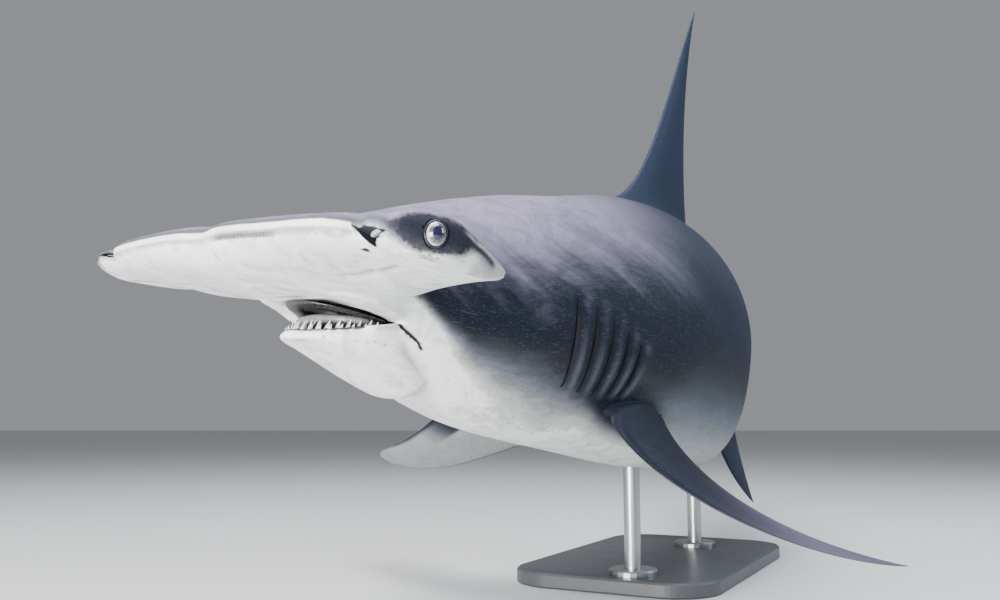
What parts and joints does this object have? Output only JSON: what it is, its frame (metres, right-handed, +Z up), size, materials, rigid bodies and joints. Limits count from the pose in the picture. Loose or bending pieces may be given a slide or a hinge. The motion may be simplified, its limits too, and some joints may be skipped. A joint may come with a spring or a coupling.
{
  "type": "hammerhead shark",
  "caption": "life-size still model of a great hammerhead shark, swimming with its head turned and mouth open, held on a plain display stand",
  "frame": {"origin": "on the floor, under the middle of the whole model's box", "axes": "+Z up, the animal looks along -Y with its head turned towards -X, +X is the side its left pectoral fin hangs to; the body runs back along +Y"},
  "size_m": [1.5166, 3.1614, 1.2995],
  "materials": {
    "skin": "grey back, slate flanks and pale belly, finely mottled, satin as wet skin",
    "mouth": "moist grey gums and tongue, dark throat",
    "teeth": "glossy ivory enamel",
    "eye": "wet silver iris round a dark pupil",
    "stand": "satin dark grey paint"
  },
  "bodies": {
    "root": {"head": "skin", "lower_jaw": "skin", "hammer_left": "skin", "hammer_right": "skin", "neck": "skin", "trunk_front": "skin", "trunk_middle": "skin", "tail_stem": "skin", "caudal_fin_upper": "skin", "caudal_fin_lower": "skin", "dorsal_fin_first": "skin", "dorsal_fin_second": "skin", "anal_fin": "skin", "pectoral_fin_left": "skin", "pectoral_fin_right": "skin", "pelvic_fin_left": "skin", "pelvic_fin_right": "skin", "eye_left": "eye", "eye_right": "eye", "stand_base": "stand", "stand_rod_front": "stand", "stand_rod_rear": "stand"}
  },
  "joints": []
}
